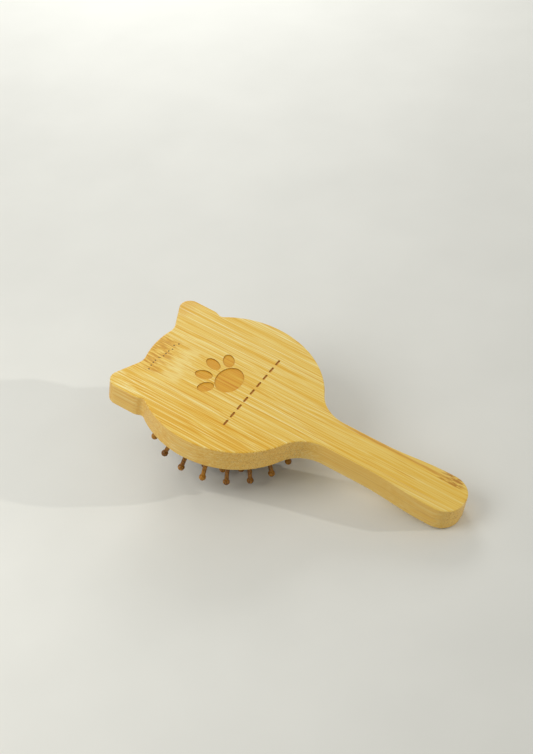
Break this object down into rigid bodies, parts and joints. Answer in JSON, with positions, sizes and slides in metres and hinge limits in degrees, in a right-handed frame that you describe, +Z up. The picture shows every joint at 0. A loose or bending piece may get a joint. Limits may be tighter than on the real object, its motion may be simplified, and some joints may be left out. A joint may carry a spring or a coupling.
{
  "type": "bristle brush",
  "caption": "Cat-head bamboo grooming brush with a flat handle, a domed rubber cushion in its underside and splayed ball-tipped wooden pins, lying pins down.",
  "frame": {"origin": "bottom centre of the bounding box, on the table the brush lies on, pins down", "axes": "+X from the cat's ears toward the handle's end, +Z up; the board is tipped about Y, handle end down"},
  "size_m": [0.1666, 0.086, 0.051],
  "materials": {
    "bamboo": "satin, laminated bamboo with long straight grain",
    "rubber": "matt black natural rubber",
    "pin_wood": "brown stained wood, thin satin lacquer"
  },
  "bodies": {
    "board": {"bamboo_upper": "bamboo", "bamboo_lower": "bamboo"},
    "cushion": {"rubber_cushion": "rubber"},
    "outer_pin_01": {"outer_pin_01": "pin_wood"},
    "outer_pin_02": {"outer_pin_02": "pin_wood"},
    "outer_pin_03": {"outer_pin_03": "pin_wood"},
    "outer_pin_04": {"outer_pin_04": "pin_wood"},
    "outer_pin_05": {"outer_pin_05": "pin_wood"},
    "outer_pin_06": {"outer_pin_06": "pin_wood"},
    "outer_pin_07": {"outer_pin_07": "pin_wood"},
    "outer_pin_08": {"outer_pin_08": "pin_wood"},
    "outer_pin_09": {"outer_pin_09": "pin_wood"},
    "outer_pin_10": {"outer_pin_10": "pin_wood"},
    "outer_pin_11": {"outer_pin_11": "pin_wood"},
    "outer_pin_12": {"outer_pin_12": "pin_wood"},
    "outer_pin_13": {"outer_pin_13": "pin_wood"},
    "outer_pin_14": {"outer_pin_14": "pin_wood"},
    "outer_pin_15": {"outer_pin_15": "pin_wood"},
    "outer_pin_16": {"outer_pin_16": "pin_wood"},
    "outer_pin_17": {"outer_pin_17": "pin_wood"},
    "outer_pin_18": {"outer_pin_18": "pin_wood"},
    "outer_pin_19": {"outer_pin_19": "pin_wood"},
    "outer_pin_20": {"outer_pin_20": "pin_wood"},
    "second_pin_01": {"second_pin_01": "pin_wood"},
    "second_pin_02": {"second_pin_02": "pin_wood"},
    "second_pin_03": {"second_pin_03": "pin_wood"},
    "second_pin_04": {"second_pin_04": "pin_wood"},
    "second_pin_05": {"second_pin_05": "pin_wood"},
    "second_pin_06": {"second_pin_06": "pin_wood"},
    "second_pin_07": {"second_pin_07": "pin_wood"},
    "second_pin_08": {"second_pin_08": "pin_wood"},
    "second_pin_09": {"second_pin_09": "pin_wood"},
    "second_pin_10": {"second_pin_10": "pin_wood"},
    "second_pin_11": {"second_pin_11": "pin_wood"},
    "second_pin_12": {"second_pin_12": "pin_wood"},
    "second_pin_13": {"second_pin_13": "pin_wood"},
    "second_pin_14": {"second_pin_14": "pin_wood"},
    "second_pin_15": {"second_pin_15": "pin_wood"},
    "second_pin_16": {"second_pin_16": "pin_wood"},
    "second_pin_17": {"second_pin_17": "pin_wood"},
    "second_pin_18": {"second_pin_18": "pin_wood"},
    "third_pin_01": {"third_pin_01": "pin_wood"},
    "third_pin_02": {"third_pin_02": "pin_wood"},
    "third_pin_03": {"third_pin_03": "pin_wood"},
    "third_pin_04": {"third_pin_04": "pin_wood"},
    "third_pin_05": {"third_pin_05": "pin_wood"},
    "third_pin_06": {"third_pin_06": "pin_wood"},
    "third_pin_07": {"third_pin_07": "pin_wood"},
    "third_pin_08": {"third_pin_08": "pin_wood"},
    "third_pin_09": {"third_pin_09": "pin_wood"},
    "third_pin_10": {"third_pin_10": "pin_wood"},
    "third_pin_11": {"third_pin_11": "pin_wood"},
    "third_pin_12": {"third_pin_12": "pin_wood"},
    "inner_pin_01": {"inner_pin_01": "pin_wood"},
    "inner_pin_02": {"inner_pin_02": "pin_wood"},
    "inner_pin_03": {"inner_pin_03": "pin_wood"},
    "inner_pin_04": {"inner_pin_04": "pin_wood"},
    "inner_pin_05": {"inner_pin_05": "pin_wood"},
    "inner_pin_06": {"inner_pin_06": "pin_wood"},
    "centre_pin_01": {"centre_pin_01": "pin_wood"}
  },
  "joints": [
    {"name": "cushion_press", "type": "slide", "parent": "board", "child": "cushion", "axis": [0.2334, 0, 0.9724], "range_m": [0, 0.003], "stiffness_N_per_m": 2500, "deforming": ["rubber_cushion"]},
    {"name": "outer_pin_01_tilt", "type": "hinge", "parent": "cushion", "child": "outer_pin_01", "pos_m": [-0.01011, -0.0024, 0.018], "axis": [0.9724, 0, -0.2334], "range_deg": [-10, 10], "stiffness_Nm_per_rad": 0.03},
    {"name": "outer_pin_02_tilt", "type": "hinge", "parent": "cushion", "child": "outer_pin_02", "pos_m": [-0.01075, 0.00655, 0.01816], "axis": [0.9724, 0, -0.2334], "range_deg": [-10, 10], "stiffness_Nm_per_rad": 0.03},
    {"name": "outer_pin_03_tilt", "type": "hinge", "parent": "cushion", "child": "outer_pin_03", "pos_m": [-0.01404, 0.01485, 0.01895], "axis": [0.9724, 0, -0.2334], "range_deg": [-10, 10], "stiffness_Nm_per_rad": 0.03},
    {"name": "outer_pin_04_tilt", "type": "hinge", "parent": "cushion", "child": "outer_pin_04", "pos_m": [-0.01967, 0.0217, 0.0203], "axis": [0.9724, 0, -0.2334], "range_deg": [-10, 10], "stiffness_Nm_per_rad": 0.03},
    {"name": "outer_pin_05_tilt", "type": "hinge", "parent": "cushion", "child": "outer_pin_05", "pos_m": [-0.02708, 0.02643, 0.02208], "axis": [0.9724, 0, -0.2334], "range_deg": [-10, 10], "stiffness_Nm_per_rad": 0.03},
    {"name": "outer_pin_06_tilt", "type": "hinge", "parent": "cushion", "child": "outer_pin_06", "pos_m": [-0.03556, 0.02857, 0.02411], "axis": [0.9724, 0, -0.2334], "range_deg": [-10, 10], "stiffness_Nm_per_rad": 0.03},
    {"name": "outer_pin_07_tilt", "type": "hinge", "parent": "cushion", "child": "outer_pin_07", "pos_m": [-0.04425, 0.02791, 0.0262], "axis": [0.9724, 0, -0.2334], "range_deg": [-10, 10], "stiffness_Nm_per_rad": 0.03},
    {"name": "outer_pin_08_tilt", "type": "hinge", "parent": "cushion", "child": "outer_pin_08", "pos_m": [-0.05233, 0.02452, 0.02814], "axis": [0.9724, 0, -0.2334], "range_deg": [-10, 10], "stiffness_Nm_per_rad": 0.03},
    {"name": "outer_pin_09_tilt", "type": "hinge", "parent": "cushion", "child": "outer_pin_09", "pos_m": [-0.05899, 0.01873, 0.02973], "axis": [0.9724, 0, -0.2334], "range_deg": [-10, 10], "stiffness_Nm_per_rad": 0.03},
    {"name": "outer_pin_10_tilt", "type": "hinge", "parent": "cushion", "child": "outer_pin_10", "pos_m": [-0.06359, 0.01111, 0.03084], "axis": [0.9724, 0, -0.2334], "range_deg": [-10, 10], "stiffness_Nm_per_rad": 0.03},
    {"name": "outer_pin_11_tilt", "type": "hinge", "parent": "cushion", "child": "outer_pin_11", "pos_m": [-0.06567, 0.0024, 0.03134], "axis": [0.9724, 0, -0.2334], "range_deg": [-10, 10], "stiffness_Nm_per_rad": 0.03},
    {"name": "outer_pin_12_tilt", "type": "hinge", "parent": "cushion", "child": "outer_pin_12", "pos_m": [-0.06503, -0.00655, 0.03118], "axis": [0.9724, 0, -0.2334], "range_deg": [-10, 10], "stiffness_Nm_per_rad": 0.03},
    {"name": "outer_pin_13_tilt", "type": "hinge", "parent": "cushion", "child": "outer_pin_13", "pos_m": [-0.06173, -0.01485, 0.03039], "axis": [0.9724, 0, -0.2334], "range_deg": [-10, 10], "stiffness_Nm_per_rad": 0.03},
    {"name": "outer_pin_14_tilt", "type": "hinge", "parent": "cushion", "child": "outer_pin_14", "pos_m": [-0.0561, -0.0217, 0.02904], "axis": [0.9724, 0, -0.2334], "range_deg": [-10, 10], "stiffness_Nm_per_rad": 0.03},
    {"name": "outer_pin_15_tilt", "type": "hinge", "parent": "cushion", "child": "outer_pin_15", "pos_m": [-0.04869, -0.02643, 0.02726], "axis": [0.9724, 0, -0.2334], "range_deg": [-10, 10], "stiffness_Nm_per_rad": 0.03},
    {"name": "outer_pin_16_tilt", "type": "hinge", "parent": "cushion", "child": "outer_pin_16", "pos_m": [-0.04022, -0.02857, 0.02523], "axis": [0.9724, 0, -0.2334], "range_deg": [-10, 10], "stiffness_Nm_per_rad": 0.03},
    {"name": "outer_pin_17_tilt", "type": "hinge", "parent": "cushion", "child": "outer_pin_17", "pos_m": [-0.03152, -0.02791, 0.02314], "axis": [0.9724, 0, -0.2334], "range_deg": [-10, 10], "stiffness_Nm_per_rad": 0.03},
    {"name": "outer_pin_18_tilt", "type": "hinge", "parent": "cushion", "child": "outer_pin_18", "pos_m": [-0.02345, -0.02452, 0.0212], "axis": [0.9724, 0, -0.2334], "range_deg": [-10, 10], "stiffness_Nm_per_rad": 0.03},
    {"name": "outer_pin_19_tilt", "type": "hinge", "parent": "cushion", "child": "outer_pin_19", "pos_m": [-0.01678, -0.01873, 0.0196], "axis": [0.9724, 0, -0.2334], "range_deg": [-10, 10], "stiffness_Nm_per_rad": 0.03},
    {"name": "outer_pin_20_tilt", "type": "hinge", "parent": "cushion", "child": "outer_pin_20", "pos_m": [-0.01219, -0.01111, 0.0185], "axis": [0.9724, 0, -0.2334], "range_deg": [-10, 10], "stiffness_Nm_per_rad": 0.03},
    {"name": "second_pin_01_tilt", "type": "hinge", "parent": "cushion", "child": "second_pin_01", "pos_m": [-0.01816, -0.00073, 0.01684], "axis": [0.9724, 0, -0.2334], "range_deg": [-10, 10], "stiffness_Nm_per_rad": 0.03},
    {"name": "second_pin_02_tilt", "type": "hinge", "parent": "cushion", "child": "second_pin_02", "pos_m": [-0.01915, 0.0065, 0.01708], "axis": [0.9724, 0, -0.2334], "range_deg": [-10, 10], "stiffness_Nm_per_rad": 0.03},
    {"name": "second_pin_03_tilt", "type": "hinge", "parent": "cushion", "child": "second_pin_03", "pos_m": [-0.02248, 0.01294, 0.01788], "axis": [0.9724, 0, -0.2334], "range_deg": [-10, 10], "stiffness_Nm_per_rad": 0.03},
    {"name": "second_pin_04_tilt", "type": "hinge", "parent": "cushion", "child": "second_pin_04", "pos_m": [-0.02776, 0.01782, 0.01915], "axis": [0.9724, 0, -0.2334], "range_deg": [-10, 10], "stiffness_Nm_per_rad": 0.03},
    {"name": "second_pin_05_tilt", "type": "hinge", "parent": "cushion", "child": "second_pin_05", "pos_m": [-0.03434, 0.02056, 0.02073], "axis": [0.9724, 0, -0.2334], "range_deg": [-10, 10], "stiffness_Nm_per_rad": 0.03},
    {"name": "second_pin_06_tilt", "type": "hinge", "parent": "cushion", "child": "second_pin_06", "pos_m": [-0.04143, 0.02081, 0.02243], "axis": [0.9724, 0, -0.2334], "range_deg": [-10, 10], "stiffness_Nm_per_rad": 0.03},
    {"name": "second_pin_07_tilt", "type": "hinge", "parent": "cushion", "child": "second_pin_07", "pos_m": [-0.04818, 0.01856, 0.02405], "axis": [0.9724, 0, -0.2334], "range_deg": [-10, 10], "stiffness_Nm_per_rad": 0.03},
    {"name": "second_pin_08_tilt", "type": "hinge", "parent": "cushion", "child": "second_pin_08", "pos_m": [-0.05378, 0.01406, 0.02539], "axis": [0.9724, 0, -0.2334], "range_deg": [-10, 10], "stiffness_Nm_per_rad": 0.03},
    {"name": "second_pin_09_tilt", "type": "hinge", "parent": "cushion", "child": "second_pin_09", "pos_m": [-0.05754, 0.00787, 0.02629], "axis": [0.9724, 0, -0.2334], "range_deg": [-10, 10], "stiffness_Nm_per_rad": 0.03},
    {"name": "second_pin_10_tilt", "type": "hinge", "parent": "cushion", "child": "second_pin_10", "pos_m": [-0.05902, 0.00073, 0.02665], "axis": [0.9724, 0, -0.2334], "range_deg": [-10, 10], "stiffness_Nm_per_rad": 0.03},
    {"name": "second_pin_11_tilt", "type": "hinge", "parent": "cushion", "child": "second_pin_11", "pos_m": [-0.05803, -0.0065, 0.02641], "axis": [0.9724, 0, -0.2334], "range_deg": [-10, 10], "stiffness_Nm_per_rad": 0.03},
    {"name": "second_pin_12_tilt", "type": "hinge", "parent": "cushion", "child": "second_pin_12", "pos_m": [-0.0547, -0.01294, 0.02561], "axis": [0.9724, 0, -0.2334], "range_deg": [-10, 10], "stiffness_Nm_per_rad": 0.03},
    {"name": "second_pin_13_tilt", "type": "hinge", "parent": "cushion", "child": "second_pin_13", "pos_m": [-0.04942, -0.01782, 0.02435], "axis": [0.9724, 0, -0.2334], "range_deg": [-10, 10], "stiffness_Nm_per_rad": 0.03},
    {"name": "second_pin_14_tilt", "type": "hinge", "parent": "cushion", "child": "second_pin_14", "pos_m": [-0.04284, -0.02056, 0.02277], "axis": [0.9724, 0, -0.2334], "range_deg": [-10, 10], "stiffness_Nm_per_rad": 0.03},
    {"name": "second_pin_15_tilt", "type": "hinge", "parent": "cushion", "child": "second_pin_15", "pos_m": [-0.03574, -0.02081, 0.02106], "axis": [0.9724, 0, -0.2334], "range_deg": [-10, 10], "stiffness_Nm_per_rad": 0.03},
    {"name": "second_pin_16_tilt", "type": "hinge", "parent": "cushion", "child": "second_pin_16", "pos_m": [-0.02899, -0.01856, 0.01944], "axis": [0.9724, 0, -0.2334], "range_deg": [-10, 10], "stiffness_Nm_per_rad": 0.03},
    {"name": "second_pin_17_tilt", "type": "hinge", "parent": "cushion", "child": "second_pin_17", "pos_m": [-0.0234, -0.01406, 0.0181], "axis": [0.9724, 0, -0.2334], "range_deg": [-10, 10], "stiffness_Nm_per_rad": 0.03},
    {"name": "second_pin_18_tilt", "type": "hinge", "parent": "cushion", "child": "second_pin_18", "pos_m": [-0.01964, -0.00787, 0.0172], "axis": [0.9724, 0, -0.2334], "range_deg": [-10, 10], "stiffness_Nm_per_rad": 0.03},
    {"name": "third_pin_01_tilt", "type": "hinge", "parent": "cushion", "child": "third_pin_01", "pos_m": [-0.02515, 0, 0.01722], "axis": [0.9724, 0, -0.2334], "range_deg": [-10, 10], "stiffness_Nm_per_rad": 0.03},
    {"name": "third_pin_02_tilt", "type": "hinge", "parent": "cushion", "child": "third_pin_02", "pos_m": [-0.02699, 0.00706, 0.01766], "axis": [0.9724, 0, -0.2334], "range_deg": [-10, 10], "stiffness_Nm_per_rad": 0.03},
    {"name": "third_pin_03_tilt", "type": "hinge", "parent": "cushion", "child": "third_pin_03", "pos_m": [-0.03202, 0.01223, 0.01887], "axis": [0.9724, 0, -0.2334], "range_deg": [-10, 10], "stiffness_Nm_per_rad": 0.03},
    {"name": "third_pin_04_tilt", "type": "hinge", "parent": "cushion", "child": "third_pin_04", "pos_m": [-0.03888, 0.01412, 0.02052], "axis": [0.9724, 0, -0.2334], "range_deg": [-10, 10], "stiffness_Nm_per_rad": 0.03},
    {"name": "third_pin_05_tilt", "type": "hinge", "parent": "cushion", "child": "third_pin_05", "pos_m": [-0.04575, 0.01223, 0.02216], "axis": [0.9724, 0, -0.2334], "range_deg": [-10, 10], "stiffness_Nm_per_rad": 0.03},
    {"name": "third_pin_06_tilt", "type": "hinge", "parent": "cushion", "child": "third_pin_06", "pos_m": [-0.05078, 0.00706, 0.02337], "axis": [0.9724, 0, -0.2334], "range_deg": [-10, 10], "stiffness_Nm_per_rad": 0.03},
    {"name": "third_pin_07_tilt", "type": "hinge", "parent": "cushion", "child": "third_pin_07", "pos_m": [-0.05262, 0, 0.02381], "axis": [0.9724, 0, -0.2334], "range_deg": [-10, 10], "stiffness_Nm_per_rad": 0.03},
    {"name": "third_pin_08_tilt", "type": "hinge", "parent": "cushion", "child": "third_pin_08", "pos_m": [-0.05078, -0.00706, 0.02337], "axis": [0.9724, 0, -0.2334], "range_deg": [-10, 10], "stiffness_Nm_per_rad": 0.03},
    {"name": "third_pin_09_tilt", "type": "hinge", "parent": "cushion", "child": "third_pin_09", "pos_m": [-0.04575, -0.01223, 0.02216], "axis": [0.9724, 0, -0.2334], "range_deg": [-10, 10], "stiffness_Nm_per_rad": 0.03},
    {"name": "third_pin_10_tilt", "type": "hinge", "parent": "cushion", "child": "third_pin_10", "pos_m": [-0.03888, -0.01412, 0.02052], "axis": [0.9724, 0, -0.2334], "range_deg": [-10, 10], "stiffness_Nm_per_rad": 0.03},
    {"name": "third_pin_11_tilt", "type": "hinge", "parent": "cushion", "child": "third_pin_11", "pos_m": [-0.03202, -0.01223, 0.01887], "axis": [0.9724, 0, -0.2334], "range_deg": [-10, 10], "stiffness_Nm_per_rad": 0.03},
    {"name": "third_pin_12_tilt", "type": "hinge", "parent": "cushion", "child": "third_pin_12", "pos_m": [-0.02699, -0.00706, 0.01766], "axis": [0.9724, 0, -0.2334], "range_deg": [-10, 10], "stiffness_Nm_per_rad": 0.03},
    {"name": "inner_pin_01_tilt", "type": "hinge", "parent": "cushion", "child": "inner_pin_01", "pos_m": [-0.03215, 0.00188, 0.01846], "axis": [0.9724, 0, -0.2334], "range_deg": [-10, 10], "stiffness_Nm_per_rad": 0.03},
    {"name": "inner_pin_02_tilt", "type": "hinge", "parent": "cushion", "child": "inner_pin_02", "pos_m": [-0.03715, 0.00703, 0.01966], "axis": [0.9724, 0, -0.2334], "range_deg": [-10, 10], "stiffness_Nm_per_rad": 0.03},
    {"name": "inner_pin_03_tilt", "type": "hinge", "parent": "cushion", "child": "inner_pin_03", "pos_m": [-0.04399, 0.00515, 0.0213], "axis": [0.9724, 0, -0.2334], "range_deg": [-10, 10], "stiffness_Nm_per_rad": 0.03},
    {"name": "inner_pin_04_tilt", "type": "hinge", "parent": "cushion", "child": "inner_pin_04", "pos_m": [-0.04582, -0.00188, 0.02174], "axis": [0.9724, 0, -0.2334], "range_deg": [-10, 10], "stiffness_Nm_per_rad": 0.03},
    {"name": "inner_pin_05_tilt", "type": "hinge", "parent": "cushion", "child": "inner_pin_05", "pos_m": [-0.04082, -0.00703, 0.02054], "axis": [0.9724, 0, -0.2334], "range_deg": [-10, 10], "stiffness_Nm_per_rad": 0.03},
    {"name": "inner_pin_06_tilt", "type": "hinge", "parent": "cushion", "child": "inner_pin_06", "pos_m": [-0.03398, -0.00515, 0.0189], "axis": [0.9724, 0, -0.2334], "range_deg": [-10, 10], "stiffness_Nm_per_rad": 0.03},
    {"name": "centre_pin_01_tilt", "type": "hinge", "parent": "cushion", "child": "centre_pin_01", "pos_m": [-0.039, 0, 0.02004], "axis": [0.9724, 0, -0.2334], "range_deg": [-10, 10], "stiffness_Nm_per_rad": 0.03}
  ]
}
